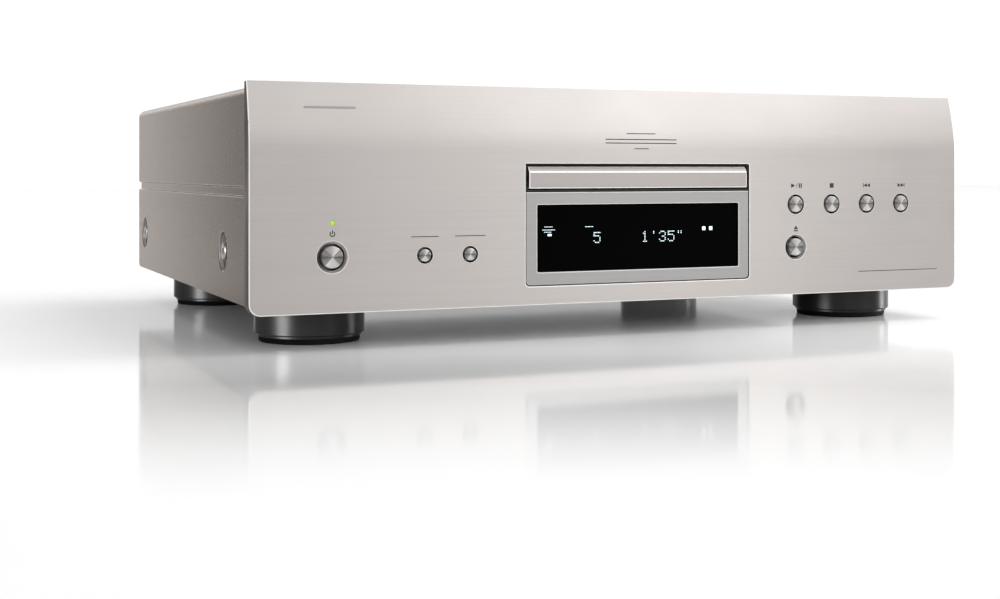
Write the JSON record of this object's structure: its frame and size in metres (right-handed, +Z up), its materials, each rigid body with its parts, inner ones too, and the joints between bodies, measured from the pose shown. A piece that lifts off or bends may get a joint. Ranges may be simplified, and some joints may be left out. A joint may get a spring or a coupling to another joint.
{
  "type": "cd player",
  "caption": "Full-width disc player with a motor-driven tray, push buttons, a display window and round feet, built with its loader and electronics inside.",
  "frame": {"origin": "bottom centre of the bounding box, on the surface that the feet stand on", "axes": "+X to the right as seen from the front, the front panel faces -Y, +Z up"},
  "size_m": [0.434, 0.3352, 0.134],
  "materials": {
    "panel_aluminium": "fine horizontal brushing, clear anodised",
    "button_aluminium": "spun, bevelled edge",
    "door_aluminium": "brushed, polished edges",
    "cover_paint": "satin metallic paint",
    "rear_paint": "satin paint",
    "chassis_steel": "zinc-plated sheet",
    "black_plastic": "moulded, matt",
    "bezel_grey": "satin paint, bright lip",
    "window_black": "gloss, smoked",
    "display_glass": "clear",
    "lamp_green": "lit lens",
    "foot_black": "gloss, lightly turned",
    "pad_rubber": "matt rubber",
    "socket_screw_steel": "plated",
    "screw_steel": "zinc-plated",
    "board_green": "solder resist",
    "board_tan": "bare laminate",
    "capacitor_sleeve": "shrunk sleeve, bright top",
    "heatsink_black": "black anodised",
    "chip_black": "moulded epoxy",
    "core_steel": "varnished laminations",
    "coil_tape": "wound, taped",
    "gold_plate": "gold-plated",
    "ribbon_white": "flat flexible cable",
    "loader_plastic": "moulded",
    "damper_rubber": "soft rubber",
    "clamper_plastic": "moulded",
    "tray_plastic": "moulded, fine grain",
    "motor_steel": "drawn can",
    "pulley_brass": "turned",
    "belt_rubber": "moulded belt",
    "gear_plastic": "moulded acetal",
    "traverse_steel": "pressed sheet",
    "turntable_black": "moulded, rubber ring",
    "rod_steel": "ground and polished",
    "sled_plastic": "die-cast and moulded",
    "lens_glass": "coated lens in a black holder"
  },
  "bodies": {
    "case": {"front_panel": "panel_aluminium", "front_subframe": "black_plastic", "display_bezel": "bezel_grey", "display_window": "window_black", "display_module": "display_glass", "control_boards": "board_green", "led_lens": "lamp_green", "top_cover": "cover_paint", "base_chassis": "chassis_steel", "rear_panel": "rear_paint", "foot_front_left": "foot_black", "foot_front_right": "foot_black", "foot_rear_left": "foot_black", "foot_rear_right": "foot_black", "foot_pads": "pad_rubber", "cover_screws": "socket_screw_steel", "chassis_screws": "screw_steel", "mains_inlet": "black_plastic", "transformer_cores": "core_steel", "transformer_coils": "coil_tape", "power_board": "board_tan", "capacitors": "capacitor_sleeve", "heatsink": "heatsink_black", "audio_board": "board_green", "digital_board": "board_green", "chips": "chip_black", "phono_jacks": "gold_plate", "optical_jack": "black_plastic", "remote_jacks": "black_plastic", "ribbon_cables": "ribbon_white", "loader_chassis": "loader_plastic", "loader_dampers": "damper_rubber", "clamp_bridge": "chassis_steel", "loading_motor": "motor_steel", "drive_belt": "belt_rubber"},
    "tray": {"disc_tray": "tray_plastic", "tray_door": "door_aluminium"},
    "drive_gear": {"drive_gear": "gear_plastic"},
    "pulley_gear": {"pulley_gear": "gear_plastic"},
    "motor_pulley": {"motor_pulley": "pulley_brass"},
    "cam_slider": {"cam_slider": "gear_plastic"},
    "traverse": {"traverse_chassis": "traverse_steel", "spindle_motor": "motor_steel", "guide_rods": "rod_steel", "sled_motor": "motor_steel"},
    "turntable": {"turntable": "turntable_black"},
    "clamper": {"clamper": "clamper_plastic"},
    "sled": {"pickup_sled": "sled_plastic"},
    "lens": {"pickup_lens": "lens_glass"},
    "sled_gear": {"sled_gear": "gear_plastic"},
    "sled_pinion": {"sled_pinion": "pulley_brass"},
    "optical_shutter": {"optical_shutter": "black_plastic"},
    "power_button": {"power_button": "button_aluminium"},
    "layer_button": {"layer_button": "button_aluminium"},
    "direct_button": {"direct_button": "button_aluminium"},
    "play_button": {"play_button": "button_aluminium"},
    "stop_button": {"stop_button": "button_aluminium"},
    "previous_button": {"previous_button": "button_aluminium"},
    "next_button": {"next_button": "button_aluminium"},
    "eject_button": {"eject_button": "button_aluminium"}
  },
  "joints": [
    {"name": "tray_slide", "type": "slide", "parent": "case", "child": "tray", "axis": [0, -1, 0], "range_m": [0, 0.135]},
    {"name": "drive_gear_spin", "type": "hinge", "parent": "case", "child": "drive_gear", "pos_m": [-0.05, -0.1305, 0.074], "axis": [0, 0, 1], "range_deg": [0, 967.87]},
    {"name": "pulley_gear_spin", "type": "hinge", "parent": "case", "child": "pulley_gear", "pos_m": [-0.02836, -0.1363, 0.072], "axis": [0, 0, 1], "range_deg": [-3546.18, 0]},
    {"name": "motor_pulley_spin", "type": "hinge", "parent": "case", "child": "motor_pulley", "pos_m": [0.016, -0.1386, 0.076], "axis": [0, 0, 1], "range_deg": [-11316.43, 0]},
    {"name": "cam_slide", "type": "slide", "parent": "case", "child": "cam_slider", "axis": [1, 0, 0], "range_m": [0, 0.014]},
    {"name": "traverse_tilt", "type": "hinge", "parent": "case", "child": "traverse", "pos_m": [0.009, -0.004, 0.072], "axis": [1, 0, 0], "range_deg": [0, 3.52]},
    {"name": "turntable_spin", "type": "hinge", "parent": "traverse", "child": "turntable", "pos_m": [0, -0.099, 0.084], "axis": [0, 0, 1], "continuous": true},
    {"name": "clamper_spin", "type": "hinge", "parent": "case", "child": "clamper", "pos_m": [0, -0.099, 0.094], "axis": [0, 0, 1], "continuous": true},
    {"name": "sled_slide", "type": "slide", "parent": "traverse", "child": "sled", "axis": [0, 1, 0], "range_m": [0, 0.036]},
    {"name": "sled_gear_spin", "type": "hinge", "parent": "traverse", "child": "sled_gear", "pos_m": [0.037, -0.052, 0.0755], "axis": [0, 0, 1], "range_deg": [-344.77, 0]},
    {"name": "sled_pinion_spin", "type": "hinge", "parent": "traverse", "child": "sled_pinion", "pos_m": [0.04325, -0.04117, 0.07], "axis": [0, 0, 1], "range_deg": [0, 1376.1]},
    {"name": "lens_focus", "type": "slide", "parent": "sled", "child": "lens", "axis": [0, 0, 1], "range_m": [-0.0004, 0.0004], "stiffness_N_per_m": 60},
    {"name": "optical_shutter_swing", "type": "hinge", "parent": "case", "child": "optical_shutter", "pos_m": [0.045, 0.1588, 0.049], "axis": [-1, 0, 0], "range_deg": [0, 80], "stiffness_Nm_per_rad": 0.0002, "springref_deg": -17.19},
    {"name": "power_press", "type": "slide", "parent": "case", "child": "power_button", "axis": [0, 1, 0], "range_m": [0, 0.0008], "stiffness_N_per_m": 1500, "springref_m": -0.0005},
    {"name": "layer_press", "type": "slide", "parent": "case", "child": "layer_button", "axis": [0, 1, 0], "range_m": [0, 0.0008], "stiffness_N_per_m": 1500, "springref_m": -0.0005},
    {"name": "direct_press", "type": "slide", "parent": "case", "child": "direct_button", "axis": [0, 1, 0], "range_m": [0, 0.0008], "stiffness_N_per_m": 1500, "springref_m": -0.0005},
    {"name": "play_press", "type": "slide", "parent": "case", "child": "play_button", "axis": [0, 1, 0], "range_m": [0, 0.0008], "stiffness_N_per_m": 1500, "springref_m": -0.0005},
    {"name": "stop_press", "type": "slide", "parent": "case", "child": "stop_button", "axis": [0, 1, 0], "range_m": [0, 0.0008], "stiffness_N_per_m": 1500, "springref_m": -0.0005},
    {"name": "previous_press", "type": "slide", "parent": "case", "child": "previous_button", "axis": [0, 1, 0], "range_m": [0, 0.0008], "stiffness_N_per_m": 1500, "springref_m": -0.0005},
    {"name": "next_press", "type": "slide", "parent": "case", "child": "next_button", "axis": [0, 1, 0], "range_m": [0, 0.0008], "stiffness_N_per_m": 1500, "springref_m": -0.0005},
    {"name": "eject_press", "type": "slide", "parent": "case", "child": "eject_button", "axis": [0, 1, 0], "range_m": [0, 0.0008], "stiffness_N_per_m": 1500, "springref_m": -0.0005}
  ],
  "couplings": [
    {"joint": "drive_gear_spin", "follows": "tray_slide", "rad_per_m": 125},
    {"joint": "pulley_gear_spin", "follows": "tray_slide", "rad_per_m": -458.33},
    {"joint": "motor_pulley_spin", "follows": "tray_slide", "rad_per_m": -1462.9},
    {"joint": "traverse_tilt", "follows": "cam_slide", "rad_per_m": 4.3633},
    {"joint": "clamper_spin", "follows": "turntable_spin", "ratio": 1},
    {"joint": "sled_gear_spin", "follows": "sled_slide", "rad_per_m": -166.67},
    {"joint": "sled_pinion_spin", "follows": "sled_slide", "rad_per_m": 666.67}
  ]
}
